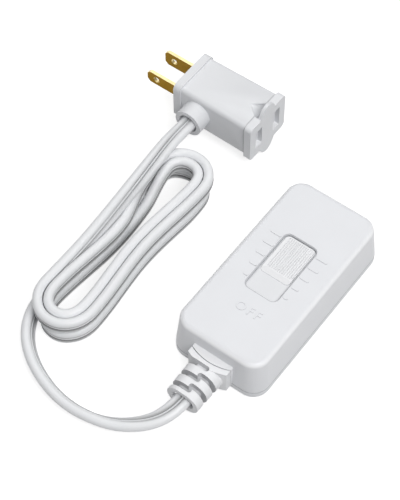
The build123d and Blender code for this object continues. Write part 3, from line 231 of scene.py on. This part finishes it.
# Painted shade: a dark copy of the plastic on the upright walls of the raised marks and of the legend's
# letters.
painted_wall_shade = moulded("painted_wall_shade", (0.36, 0.365, 0.38), 0.5, spark_grain, spark_depth)
cover_skin = smoothed("top_cover", "box", edge_highlight_plastic, parting_round, parting_z)
cover_heights = [v.co.z for v in cover_skin.data.vertices]
point_shares(cover_skin.data, "painted_edge_highlight", np.interp(cover_heights, edge_highlight_heights, (0, 1, 0)))
faced(cover_skin, painted_rim_shade, window_or_parting)
faced(cover_skin, painted_wall_shade, mark_walls)
base_skin = smoothed("bottom_cover", "box", cover_plastic, parting_round, parting_z)
faced(base_skin, painted_rim_shade, base_parting)

# Screws. Zinc-plated steel pan heads, four up through the base and four in the
# board, with fine turning marks left from heading and plating.


def metal(name, colour, roughness, streak, streak_turn=(0, 0, 0)):
    """Bare metal with fine lines along one direction and slow stains of tone."""
    material = bpy.data.materials.new(name)
    material.use_nodes = True
    nodes = material.node_tree.nodes
    nodes["Principled BSDF"].inputs["Metallic"].default_value = 1.0
    place = nodes.new("ShaderNodeTexCoord").outputs["Object"]
    turn = nodes.new("ShaderNodeMapping")
    turn.inputs["Rotation"].default_value = streak_turn
    turn.inputs["Scale"].default_value = (1, streak, streak)
    material.node_tree.links.new(place, turn.inputs["Vector"])
    lines = noise(material, turn.outputs["Vector"], scale=90, detail=5)
    stain = noise(material, place, scale=220, detail=2)
    toned(material, stain, [c * 0.84 for c in colour], list(colour), low=0.3, high=0.7)
    glossed(material, lines, low=roughness - 0.07, high=roughness + 0.09)
    grained(material, lines, strength=0.25, depth=0.00002)
    return material


def finish_node(node, material):
    """Gives a CAD node one material on all its slots."""
    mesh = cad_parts[node].data
    mesh.materials.clear()
    mesh.materials.append(material)


zinc = metal("zinc", (0.62, 0.62, 0.60), 0.34, 6)
smoothed("cover_screws", "box", zinc)
finish_node("board_screws", zinc)

# Slider. The ribbed knob, brighter and glossier than the cover, stands on a long
# shutter that is a little darker; the grey nylon carrier and the sprung brass wiper
# hang under them. The knob's rib tops carry a painted highlight, and the floors of
# its grooves painted shade.
fine_grain, fine_depth = 3200, 0.00002
knob_plastic = moulded("knob_plastic", (0.80, 0.805, 0.82), 0.33, fine_grain, fine_depth)
# Painted highlight on the rib tops, a paler copy of the knob's plastic, and painted shade on the groove
# floors, a darker copy.
rib_highlight_plastic = moulded("rib_highlight_plastic", (0.83, 0.835, 0.85), 0.33, fine_grain, fine_depth)
groove_shade_plastic = moulded("groove_shade_plastic", (0.72, 0.725, 0.74), 0.45, fine_grain, fine_depth)
shutter_plastic = moulded("shutter_plastic", (0.755, 0.765, 0.785), 0.35, fine_grain, fine_depth)
knob_skin = smoothed("slider_knob", "slider", knob_plastic)
knob_top = max(v.co.z for v in knob_skin.data.vertices)
rib_low, groove_low, level_tilt = knob_top - 0.0001, knob_top - 0.0004, 0.99


def rib_tops(place, normal):
    """The level tops of the knob's ribs, which take a painted highlight."""
    return normal.z > level_tilt and place.z > rib_low


def groove_floors(place, normal):
    """The level floors of the grooves between the ribs, which take painted shade."""
    return normal.z > level_tilt and groove_low < place.z <= rib_low


faced(knob_skin, rib_highlight_plastic, rib_tops)
faced(knob_skin, groove_shade_plastic, groove_floors)
smoothed("slider_shutter", "slider", shutter_plastic)
nylon = moulded("nylon", (0.30, 0.31, 0.33), 0.5, 1800, 0.00003)
finish_node("slider_carrier", nylon)
strip_brass = metal("strip_brass", (0.72, 0.53, 0.24), 0.3, 8)
finish_node("wiper", strip_brass)

# Circuit board and what stands on it, shut in the box: phenolic board, black
# potentiometer with its carbon track, aluminium heat sink, powder-core choke.
black_resin = moulded("black_resin", (0.035, 0.035, 0.04), 0.45, 1500, 0.00004, 0.05)
tinned = metal("tinned", (0.66, 0.66, 0.66), 0.32, 6)
quarter_turn = (0, 0, math.radians(90))
board_finishes = {
    "circuit_board": moulded("board_resin", (0.42, 0.28, 0.11), 0.45, 900, 0.00005, 0.06),
    "potentiometer_body": black_resin,
    "off_switch": black_resin,
    "triac_case": black_resin,
    "potentiometer_track": moulded("carbon_ink", (0.05, 0.045, 0.045), 0.6, 2500, 0.00003, 0.1),
    "heat_sink": metal("sheet_aluminium", (0.74, 0.75, 0.76), 0.36, 10),
    "heat_sink_rivet": metal("rivet_aluminium", (0.70, 0.71, 0.72), 0.3, 5),
    "triac_tab": tinned,
    "triac_legs": tinned,
    "choke_core": moulded("core_coating", (0.62, 0.52, 0.10), 0.5, 1600, 0.00006, 0.05),
    "choke_winding": metal("enamelled_copper", (0.62, 0.25, 0.10), 0.28, 12, quarter_turn),
    "noise_capacitor": moulded("film_case", (0.66, 0.50, 0.09), 0.3, 1400, 0.00003, 0.04),
    "timing_capacitor": moulded("dipped_case", (0.07, 0.24, 0.17), 0.25, 700, 0.00006, 0.08),
    "resistor": moulded("tan_lacquer", (0.58, 0.43, 0.26), 0.28, 900, 0.00004, 0.06),
    "diac": moulded("red_glass", (0.42, 0.08, 0.05), 0.12, 700, 0.00002, 0.06),
    "terminals": strip_brass,
    "switch_button": moulded("acetal", (0.72, 0.72, 0.72), 0.35, 2000, 0.00002),
}
for node, finish in board_finishes.items():
    finish_node(node, finish)

# Strain relief. Soft white vinyl moulded over the cord: a curved plate on the
# wall, a curved block, and the boot with its slots, which take painted shade.
# Duller than the box.
relief_grain, relief_depth = 1900, 0.00004
boot_z, boot_far_y, boot_near_y = 0.009, -0.0620, -0.0495
boot_core_half, boot_core_reach, end_wall_tilt = 0.0019, 0.0053, 0.8


def boot_slots(place, normal):
    """The floors of the boot's slots, near the cord, and their end walls, which take painted shade."""
    reach = math.hypot(max(abs(place.x) - boot_core_half, 0), place.z - boot_z)
    in_slot = reach < boot_core_reach or abs(normal.y) > end_wall_tilt
    return in_slot and boot_far_y < place.y < boot_near_y


soft_vinyl = moulded("soft_vinyl", (0.83, 0.835, 0.85), 0.5, relief_grain, relief_depth)
# Painted shade: a darker copy of the vinyl in the boot's slots.
painted_slot_shade = moulded("painted_slot_shade", (0.57, 0.575, 0.59), 0.55, relief_grain, relief_depth)
relief_skin = smoothed("strain_relief", "box", soft_vinyl, edge=0.00022)
faced(relief_skin, painted_slot_shade, boot_slots)

# Plug. White vinyl body and collar, with the outlet insert clipped into its front:
# ears, fin and the two recessed slots. A line of painted shade lies on the body
# just behind the ears, fainter above and below than at the sides.
plug_colour, plug_grain, plug_depth = (0.775, 0.785, 0.805), 2300, 0.00003
plug_y, plug_flat_half = 0.0596, 0.0112
joint_front_x, joint_back_x = -0.05150, -0.05195
flat_joint_shade, joint_shade_tint = 0.35, (0.35, 0.35, 0.35, 1)
pocket_low_z, pocket_high_z, pocket_tilt = 0.008, 0.011, 0.7
pocket_back_x, pocket_half_width = -0.0497, 0.009


def pocket_floors(place, normal):
    """The low walls of the two recessed slots, which take a painted highlight."""
    low_wall = normal.z > pocket_tilt and pocket_low_z < place.z < pocket_high_z
    return low_wall and place.x > pocket_back_x and abs(place.y - plug_y) < pocket_half_width


def joint_share(place):
    """How much painted shade a point of the plug's body takes just behind the ears."""
    if place.x <= joint_front_x - slack:
        return 0.0
    return flat_joint_shade if abs(place.y - plug_y) < plug_flat_half else 1.0


plug_vinyl = moulded("plug_vinyl", plug_colour, 0.45, plug_grain, plug_depth)
insert_vinyl = moulded("insert_vinyl", plug_colour, 0.42, plug_grain, plug_depth)
# Painted highlight: a paler copy of the insert's vinyl on the low walls of the recessed slots.
pocket_highlight = moulded("pocket_highlight", (0.90, 0.905, 0.92), 0.4, plug_grain, plug_depth)
body_skin = smoothed("plug_body", "box", plug_vinyl, edge=0.00022)
insert_skin = smoothed("outlet_insert", "box", insert_vinyl, edge=0.0003)
faced(insert_skin, pocket_highlight, pocket_floors)
# Painted shade behind the ears: the body is cut just behind them so that its points there can carry the
# shade.
edit = bmesh.new()
edit.from_mesh(body_skin.data)
for cut in (joint_front_x, joint_back_x):
    bmesh.ops.bisect_plane(edit, geom=edit.verts[:] + edit.edges[:] + edit.faces[:],
                           plane_co=(cut, 0, 0), plane_no=(1, 0, 0))
edit.to_mesh(body_skin.data)
edit.free()
point_shares(body_skin.data, "painted_joint_shade", [joint_share(v.co) for v in body_skin.data.vertices])
tinted(plug_vinyl, "painted_joint_shade", joint_shade_tint)
finish_node("blade_carrier", nylon)
finish_node("contact_hot", strip_brass)
finish_node("contact_neutral", strip_brass)

# Blades. Stamped from yellow brass strip, with rolling lines along them: the sheared
# edges are bright, and the rolled faces are painted darker and browner, painted
# shade for the dark surroundings they mirror.
rolled_tilt = 0.9
blade_edge = metal("blade_edge", (0.90, 0.76, 0.42), 0.36, 9)
# Painted shade on the rolled faces: a dark copy of the brass, for the dark surroundings they mirror.
blade_face_shade = metal("blade_face_shade", (0.225, 0.138, 0.036), 0.32, 9)
blade_face_shade.node_tree.nodes["Principled BSDF"].inputs["Specular Tint"].default_value = (0.8, 0.6, 0.3, 1)
for blade in ("blade_hot", "blade_neutral"):
    blade_skin = smoothed(blade, "box", blade_edge)
    faced(blade_skin, blade_face_shade, lambda place, normal: abs(normal.y) > rolled_tilt)

# Cord. Flat twin flex of white vinyl, 7.3 mm across and 4.1 mm thick, with a tear
# bead between its two lobes. One length from the plug's collar over the hank and
# round it three times, then along the table to the boot. Painted shade lines the
# notches beside the bead and the lobes' inner edges, fainter along the leads.
mm = 0.001
hank_x, hank_top_y, hank_low_y = -63.0, 19.5, -54.5
top_half, low_half = 7.2, 7.75
top_depth, low_depth = 6.9, 8.8
waist_draw, winding_pitch = 2.75, 4.4
low_layer_z, high_layer_z = 3.65, 11.4
eighth = math.tan(math.radians(22.5))
lobe_radius, lobe_offset = 2.05 * mm, 1.6 * mm
notch_edge, notch_half, notch_floor = 0.85 * mm, 0.50 * mm, 1.0 * mm
bead_half, bead_side, bead_top = 0.26 * mm, 1.70 * mm, 1.90 * mm
lobe_steps, flex_smooth_angle = 20, math.radians(40)
# Shares of painted shade on the lobes' last three points beside the notches, and on the bead's flanks.
painted_notch_fade, bead_shade = (0.85, 0.5, 0.2), 0.1


def layer_height(layer):
    """Height of a layer's middle; a layer between 0 and 1 is a strand on its way down."""
    return low_layer_z + layer * (high_layer_z - low_layer_z)


def arm_point(side, down, winding, layer):
    """Point on an arm of the hank, down from its top bend, drawn in at the waist."""
    reach = top_half + (low_half - top_half) * down
    draw = waist_draw * (1 - math.cos(2 * math.pi * down)) / 2
    return (hank_x + side * (reach - draw + winding * winding_pitch),
            hank_top_y + (hank_low_y - hank_top_y) * down,
            layer_height(layer))


def bend_points(end, windings, layer):
    """The four corners of a bend, each on its own winding: end is 1 at the top and -1 at the low bend."""
    half, depth, y = (top_half, top_depth, hank_top_y) if end == 1 else (low_half, low_depth, hank_low_y)
    corners = []
    for turn, winding in enumerate(windings):
        across = (1, eighth, -eighth, -1)[turn] * (half + winding * winding_pitch)
        out = (eighth, 1, 1, eighth)[turn] * (depth + winding * winding_pitch)
        corners.append((hank_x + end * across, y + end * out, layer_height(layer)))
    return corners


# The route is the model's, in millimetres: its leads have the same points, and its
# hank comes from the same formula.
steady = (0.9, 0.75, 0.6, 0.45, 0.3, 0.12)
first_round = bend_points(-1, (1, 1, 1, 1), 1)
first_round += [arm_point(1, down, 1, 1) for down in steady]
first_round += bend_points(1, (1, 1, 1, 1), 1)
to_inner_winding = ((0.1, 1), (0.2, 0.95), (0.3, 0.6), (0.4, 0.15), (0.5, 0), (0.62, 0), (0.75, 0),
                    (0.9, 0))
first_round += [arm_point(-1, down, winding, 1) for down, winding in to_inner_winding]

second_round = bend_points(-1, (0, 0, 0, 0), 1)
second_round += [arm_point(1, down, 0, 1) for down in steady]
second_round += bend_points(1, (0, 0, 0, 0), 1)
to_lower_layer = ((0.05, 0.9), (0.12, 0.5), (0.2, 0.05), (0.3, 0), (0.45, 0), (0.6, 0), (0.75, 0),
                  (0.9, 0))
second_round += [arm_point(-1, down, 0, layer) for down, layer in to_lower_layer]

third_round = bend_points(-1, (0.05, 0.7, 1, 1), 0)
third_round += [arm_point(1, down, 1, 0) for down in steady]
third_round += bend_points(1, (0.75, 0.25, 0.25, 0.75), 0)
third_round += [arm_point(-1, down, 1, 0) for down in reversed(steady)]

plug_lead = [(-76.0, 44.2, 15.5), (-76.0, 36.2, 15.5), (-75.3, 27.0, 17.7), (-73.9, 8.0, 17.6),
             (-73.0, -8.0, 17.2), (-72.9, -20.0, 15.8), (-73.5, -33.0, 13.6), arm_point(-1, 0.9, 1, 1)]
box_lead = [(-75.15, -54.5, 3.65), (-75.1, -63.5, 3.65), (-68.8, -75.5, 3.65), (-56.0, -84.6, 3.5),
            (-38.0, -89.8, 3.5), (-19.6, -87.2, 3.5), (-6.4, -79.0, 5.6), (0.0, -69.6, 9.0),
            (0.0, -60.4, 9.0)]
route = plug_lead + first_round + second_round + third_round + box_lead

route_curve = bpy.data.curves.new("cord_route", "CURVE")
route_curve.dimensions = "3D"
spline = route_curve.splines.new("NURBS")
spline.points.add(len(route) - 1)
for point, place in zip(spline.points, route):
    point.co = [c * mm for c in place] + [1]
spline.order_u = 3
spline.use_endpoint_u = True
spline.resolution_u = 6
route_object = bpy.data.objects.new("cord_route", route_curve)
bpy.context.collection.objects.link(route_object)
bpy.context.view_layer.update()
route_mesh = bpy.data.meshes.new_from_object(route_object)
line = np.array([v.co for v in route_mesh.vertices])
bpy.data.objects.remove(route_object)

runs = np.linalg.norm(np.diff(line, axis=0), axis=1)
line = line[np.concatenate([[True], runs > merge_distance])]
runs = np.linalg.norm(np.diff(line, axis=0), axis=1)
along = np.concatenate([[0], np.cumsum(runs)])
cord_length = along[-1]
banked_places = (0.010, 0.050, 0.085, 0.110, cord_length - 0.115, cord_length - 0.095,
                 cord_length - 0.040, cord_length - 0.008)
banked_degrees = (0, -48, -80, -90, -90, -64, -58, 0)
bank_along = np.radians(np.interp(along, banked_places, banked_degrees))
shaded_places = (0.060, 0.110, cord_length - 0.110, cord_length - 0.080)
shade_along = np.interp(along, shaded_places, (0.4, 1.0, 1.0, 0.6))


def twin_section():
    """Outline of the flex: x across its width, y up, and each point's share of painted shade in and
    beside the notches.
    """
    start = math.acos((notch_edge - lobe_offset) / lobe_radius)
    turns = [start - 2 * start * i / (lobe_steps - 1) for i in range(lobe_steps)]
    lobe = [(lobe_offset + lobe_radius * math.cos(a), lobe_radius * math.sin(a), 0) for a in turns]
    for step, deep in enumerate(painted_notch_fade):
        lobe[step] = (lobe[step][0], lobe[step][1], deep)
        lobe[-1 - step] = (lobe[-1 - step][0], lobe[-1 - step][1], deep)
    bead = [(notch_half, -notch_floor, 1), (bead_half, -bead_side, bead_shade), (0.0, -bead_top, 0),
            (-bead_half, -bead_side, bead_shade), (-notch_half, -notch_floor, 1)]
    half = lobe + bead
    return half + [(-x, -y, deep) for x, y, deep in half]


section = twin_section()
corners, faces = [], []
heading = np.gradient(line, along, axis=0)
for place, direction, bank in zip(line, heading, bank_along):
    forward = Vector(direction).normalized()
    level = Vector((0, 0, 1)).cross(forward).normalized()
    upright = forward.cross(level)
    wide = level * math.cos(bank) + upright * math.sin(bank)
    thick = forward.cross(wide)
    corners += [Vector(place) + wide * x + thick * y for x, y, deep in section]
count = len(section)
for ring in range(len(line) - 1):
    for step in range(count):
        a, b = ring * count + step, ring * count + (step + 1) % count
        faces.append((a, b, b + count, a + count))
faces.append(tuple(reversed(range(count))))
faces.append(tuple(range(len(corners) - count, len(corners))))
cord_mesh = bpy.data.meshes.new("lamp_cord")
cord_mesh.from_pydata(corners, [], faces)
# Painted shade: each point's share from the section, weakened along the leads by shade_along.
point_shares(cord_mesh, "painted_notch_shade", [deep * share for share in shade_along for x, y, deep in section])
cord_mesh.validate()
lamp_cord = bpy.data.objects.new("lamp_cord", cord_mesh)
bpy.context.collection.objects.link(lamp_cord)
edit = bmesh.new()
edit.from_mesh(cord_mesh)
bmesh.ops.recalc_face_normals(edit, faces=edit.faces)
edit.to_mesh(cord_mesh)
edit.free()
bpy.ops.object.select_all(action="DESELECT")
lamp_cord.select_set(True)
bpy.context.view_layer.objects.active = lamp_cord
bpy.ops.object.shade_smooth_by_angle(angle=flex_smooth_angle)
lamp_cord.select_set(False)

flex_grain, flex_depth = 1500, 0.00003
flex_vinyl = moulded("flex_vinyl", (0.83, 0.84, 0.855), 0.38, flex_grain, flex_depth)
# The flex's painted shade: the vinyl darkened where a point's share of it is 1.
tinted(flex_vinyl, "painted_notch_shade", (0.16, 0.16, 0.16, 1))
cord_mesh.materials.append(flex_vinyl)
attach(lamp_cord, "box")
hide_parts("cord_hank", "cord_lead_plug", "cord_lead_box")
core_vinyl = moulded("core_vinyl", (0.76, 0.77, 0.79), 0.4, flex_grain, flex_depth)
finish_node("cord_entry", core_vinyl)
finish_node("cord_cores", core_vinyl)

# Legend. OFF in plain wide-spaced capitals at the dim end of the window, moulded
# 0.18 mm proud of the cover in the cover's own plastic, with painted shade on the
# letters' upright walls.
letter_size, letter_spacing, letter_half_depth, letter_swell = 0.0056, 1.3, 0.00012, 0.00006
legend_middle = (0.0012, -0.0222, 0.02206)
bpy.ops.object.text_add(location=(0, 0, 0))
legend = bpy.context.object
legend.name = "off_legend"
legend.data.body = "OFF"
legend.data.align_x = "CENTER"
legend.data.align_y = "CENTER"
legend.data.size = letter_size
legend.data.space_character = letter_spacing
legend.data.extrude = letter_half_depth
legend.data.offset = letter_swell
bpy.ops.object.convert(target="MESH")
legend = bpy.context.object
legend.data.transform(Matrix.Translation(legend_middle))
legend.select_set(False)
legend.data.materials.clear()
legend.data.materials.append(cover_plastic)
# The letters' upright walls take the painted shade.
faced(legend, painted_wall_shade, lambda place, normal: abs(normal.z) < upright_tilt)
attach(legend, "box")

# Floor. A white paper sweep: what is seen directly or mirrored is the plain white
# paper, while the light that it throws back up at the object is that of a grey.
bpy.ops.mesh.primitive_plane_add(size=6, location=(0, 0, -0.0001))
floor = bpy.context.object
floor.name = "floor"
floor_material = bpy.data.materials.new("floor_white")
floor_material.use_nodes = True
nodes, links = floor_material.node_tree.nodes, floor_material.node_tree.links
seen = nodes["Principled BSDF"]
seen.inputs["Base Color"].default_value = (0.5, 0.5, 0.5, 1)
seen.inputs["Roughness"].default_value = 0.9
seen.inputs["Specular IOR Level"].default_value = 0
seen.inputs["Emission Color"].default_value = (1, 1, 1, 1)
seen.inputs["Emission Strength"].default_value = 0.72
bounce = nodes.new("ShaderNodeBsdfDiffuse")
bounce.inputs["Color"].default_value = (0.46, 0.46, 0.46, 1)
rays = nodes.new("ShaderNodeLightPath")
direct = rays.outputs["Is Camera Ray"]
for kind in ("Is Glossy Ray", "Is Transmission Ray"):
    either = nodes.new("ShaderNodeMath")
    either.operation = "MAXIMUM"
    links.new(direct, either.inputs[0])
    links.new(rays.outputs[kind], either.inputs[1])
    direct = either.outputs[0]
pick = nodes.new("ShaderNodeMixShader")
links.new(direct, pick.inputs["Fac"])
links.new(bounce.outputs[0], pick.inputs[1])
links.new(seen.outputs[0], pick.inputs[2])
links.new(pick.outputs[0], nodes["Material Output"].inputs["Surface"])
floor.data.materials.append(floor_material)

# Light. A tent that is pale overhead and dark towards the horizon, and white where
# it is seen directly, with two square soft lamps in it: a strong one from the front
# right, and a weak one from behind.
world = bpy.data.worlds.new("studio")
bpy.context.scene.world = world
world.use_nodes = True
nodes, links = world.node_tree.nodes, world.node_tree.links
tent = nodes["Background"]
tent.inputs["Strength"].default_value = 1.0
facing = nodes.new("ShaderNodeTexCoord")
upward = nodes.new("ShaderNodeSeparateXYZ")
links.new(facing.outputs["Object"], upward.inputs[0])
steepness = nodes.new("ShaderNodeMath")
steepness.operation = "ABSOLUTE"
links.new(upward.outputs["Z"], steepness.inputs[0])
flags = nodes.new("ShaderNodeValToRGB")
flags.color_ramp.elements[0].position = 0.15
flags.color_ramp.elements[1].position = 0.75
flags.color_ramp.elements[0].color = (0.10, 0.10, 0.105, 1)
flags.color_ramp.elements[1].color = (0.56, 0.56, 0.56, 1)
links.new(steepness.outputs[0], flags.inputs["Fac"])
rays = nodes.new("ShaderNodeLightPath")
paper = nodes.new("ShaderNodeMix")
paper.data_type = "RGBA"
paper.inputs["B"].default_value = (1, 1, 1, 1)
links.new(rays.outputs["Is Camera Ray"], paper.inputs["Factor"])
links.new(flags.outputs["Color"], paper.inputs["A"])
links.new(paper.outputs["Result"], tent.inputs["Color"])


def lamp(name, place, size, power):
    """A square soft light aimed at the object."""
    data = bpy.data.lights.new(name, "AREA")
    data.size = size
    data.energy = power
    lit = bpy.data.objects.new(name, data)
    lit.location = place
    lit.rotation_euler = (Vector((0, 0, 0)) - Vector(place)).to_track_quat("-Z", "Y").to_euler()
    bpy.context.collection.objects.link(lit)


lamp("key", (0.72, -0.25, 1.16), 0.7, 10.3)
lamp("back", (-0.44, 0.60, 1.12), 0.8, 3.0)

# Camera. At the photograph's viewing angle and distance: a long lens, two thirds
# of a metre from the object's middle.
lens, sensor_width = 114.03, 36
camera_place = Vector((0.1795, -0.28805, 0.5467))
view_right = Vector((0.8016, 0.5979, -0.0052)).normalized()
view_ahead = Vector((-0.3338, 0.4404, -0.8334)).normalized()
camera_data = bpy.data.cameras.new("camera")
camera_data.sensor_width = sensor_width
camera_data.lens = lens
camera_data.clip_start = 0.01
camera = bpy.data.objects.new("camera", camera_data)
view_up = view_right.cross(view_ahead).normalized()
view_right = view_ahead.cross(view_up).normalized()
camera.matrix_world = Matrix((
    (view_right.x, view_up.x, -view_ahead.x, camera_place.x),
    (view_right.y, view_up.y, -view_ahead.y, camera_place.y),
    (view_right.z, view_up.z, -view_ahead.z, camera_place.z),
    (0, 0, 0, 1)))
bpy.context.collection.objects.link(camera)
bpy.context.scene.camera = camera
bpy.context.scene.view_settings.view_transform = "Standard"
